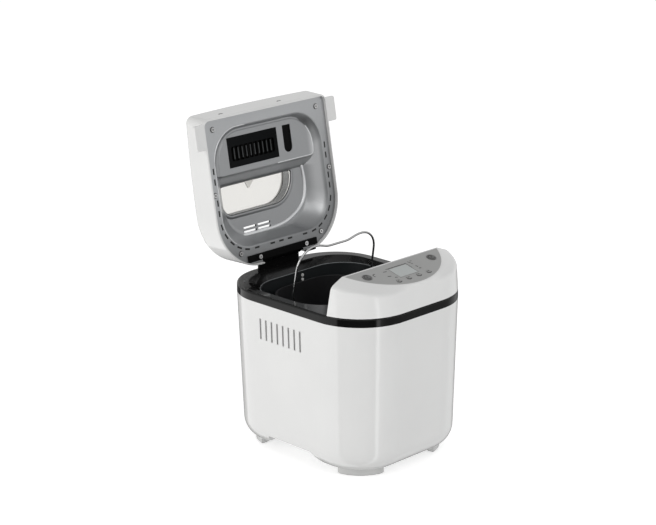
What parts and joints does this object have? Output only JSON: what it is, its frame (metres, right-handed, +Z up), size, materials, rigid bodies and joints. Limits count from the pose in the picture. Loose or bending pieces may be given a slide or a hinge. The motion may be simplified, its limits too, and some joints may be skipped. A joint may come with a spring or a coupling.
{
  "type": "bread machine",
  "caption": "Upright bread machine with a hinged lid, lift-out pan with a wire bail, belt-driven kneading paddle, heated chamber and sloping control panel.",
  "frame": {"origin": "on the floor under the middle of the whole part with its lid open", "axes": "+Z up, +X to the right seen from the control panel side, +Y to the rear, towards the lid hinge"},
  "size_m": [0.277, 0.3554, 0.4724],
  "materials": {
    "white_plastic": "gloss",
    "black_plastic": "gloss",
    "oven_metal": "satin",
    "nonstick_metal": "satin",
    "bright_steel": "satin",
    "plain_steel": "matte",
    "heater_metal": "matte",
    "silver_liner": "satin",
    "black_rubber": "matte",
    "white_ceramic": "matte",
    "bearing_bronze": "satin",
    "motor_metal": "satin",
    "pulley_plastic": "matte",
    "board_green": "satin",
    "component_black": "matte",
    "panel_grey": "satin",
    "key_grey": "satin",
    "clear_display": "gloss",
    "clear_window": "gloss"
  },
  "bodies": {
    "housing": {"housing_shell": "white_plastic", "base_cover": "white_plastic", "feet": "white_plastic", "console_cover": "white_plastic", "collar": "black_plastic", "hinge_block": "black_plastic", "cord_gland": "black_plastic", "oven_chamber": "oven_metal", "pan_seat": "bright_steel", "pan_clips": "bright_steel", "body_screws": "bright_steel", "sensor_rivets": "bright_steel", "heater_clips": "bright_steel", "hinge_pin": "bright_steel", "chassis_plate": "plain_steel", "chamber_spacers": "plain_steel", "board_bracket": "plain_steel", "heating_element": "heater_metal", "foot_pads": "black_rubber", "drive_belt": "black_rubber", "motor_mounts": "black_rubber", "heater_insulators": "white_ceramic", "drive_bearing": "bearing_bronze", "motor": "motor_metal", "power_board": "board_green", "control_board": "board_green", "power_components": "component_black", "key_switches": "component_black", "temperature_sensor": "component_black", "display_module": "component_black", "control_membrane": "panel_grey", "display_window": "clear_display"},
    "lid": {"lid_shell": "white_plastic", "lid_liner": "silver_liner", "vent_grille": "black_plastic", "lid_window_inner": "clear_window", "lid_window_outer": "clear_window", "steam_duct": "white_plastic", "lid_screws": "bright_steel", "hinge_bracket": "black_plastic"},
    "pan": {"bread_pan": "nonstick_metal", "pan_base_ring": "bright_steel", "bail_brackets": "bright_steel", "pan_bush": "bearing_bronze"},
    "bail": {"bail_handle": "bright_steel"},
    "pan_shaft": {"pan_shaft": "bright_steel", "pan_coupling": "bright_steel"},
    "paddle": {"kneading_paddle": "nonstick_metal"},
    "drive": {"drive_shaft": "bright_steel", "drive_coupling": "bright_steel", "drive_pulley": "pulley_plastic"},
    "motor_rotor": {"motor_shaft": "bright_steel", "motor_pulley": "bright_steel"},
    "menu_key": {"menu_key": "key_grey"},
    "start_key": {"start_key": "key_grey"},
    "program_key": {"program_key": "key_grey"},
    "crust_key": {"crust_key": "key_grey"},
    "size_key": {"size_key": "key_grey"},
    "timer_key": {"timer_key": "key_grey"}
  },
  "joints": [
    {"name": "lid_hinge", "type": "hinge", "parent": "housing", "child": "lid", "pos_m": [0, 0.1096, 0.2549], "axis": [-1, 0, 0], "range_deg": [-99.9, 0]},
    {"name": "pan_lift", "type": "slide", "parent": "housing", "child": "pan", "axis": [0, 0, 1], "range_m": [0, 0.15]},
    {"name": "bail_swing", "type": "hinge", "parent": "pan", "child": "bail", "pos_m": [0, 0.0025, 0.2125], "axis": [-1, 0, 0], "range_deg": [-60, 0]},
    {"name": "drive_spin", "type": "hinge", "parent": "housing", "child": "drive", "pos_m": [0, 0.0025, 0.0305], "axis": [0, 0, 1], "continuous": true},
    {"name": "motor_spin", "type": "hinge", "parent": "housing", "child": "motor_rotor", "pos_m": [0.03, -0.115, 0.0305], "axis": [0, 0, 1], "continuous": true},
    {"name": "pan_shaft_spin", "type": "hinge", "parent": "pan", "child": "pan_shaft", "pos_m": [0, 0.0025, 0.0865], "axis": [0, 0, 1], "continuous": true},
    {"name": "paddle_lift", "type": "slide", "parent": "pan_shaft", "child": "paddle", "axis": [0, 0, 1], "range_m": [0, 0.025]},
    {"name": "menu_key_press", "type": "slide", "parent": "housing", "child": "menu_key", "axis": [0, 0.2419, -0.9703], "range_m": [0, 0.001], "stiffness_N_per_m": 400},
    {"name": "start_key_press", "type": "slide", "parent": "housing", "child": "start_key", "axis": [0, 0.2419, -0.9703], "range_m": [0, 0.001], "stiffness_N_per_m": 400},
    {"name": "program_key_press", "type": "slide", "parent": "housing", "child": "program_key", "axis": [0, 0.2419, -0.9703], "range_m": [0, 0.001], "stiffness_N_per_m": 400},
    {"name": "crust_key_press", "type": "slide", "parent": "housing", "child": "crust_key", "axis": [0, 0.2419, -0.9703], "range_m": [0, 0.001], "stiffness_N_per_m": 400},
    {"name": "size_key_press", "type": "slide", "parent": "housing", "child": "size_key", "axis": [0, 0.2419, -0.9703], "range_m": [0, 0.001], "stiffness_N_per_m": 400},
    {"name": "timer_key_press", "type": "slide", "parent": "housing", "child": "timer_key", "axis": [0, 0.2419, -0.9703], "range_m": [0, 0.001], "stiffness_N_per_m": 400}
  ],
  "couplings": [
    {"joint": "bail_swing", "follows": "lid_hinge", "ratio": 0.6},
    {"joint": "pan_shaft_spin", "follows": "drive_spin", "ratio": 1},
    {"joint": "motor_spin", "follows": "drive_spin", "ratio": 5.1111}
  ]
}
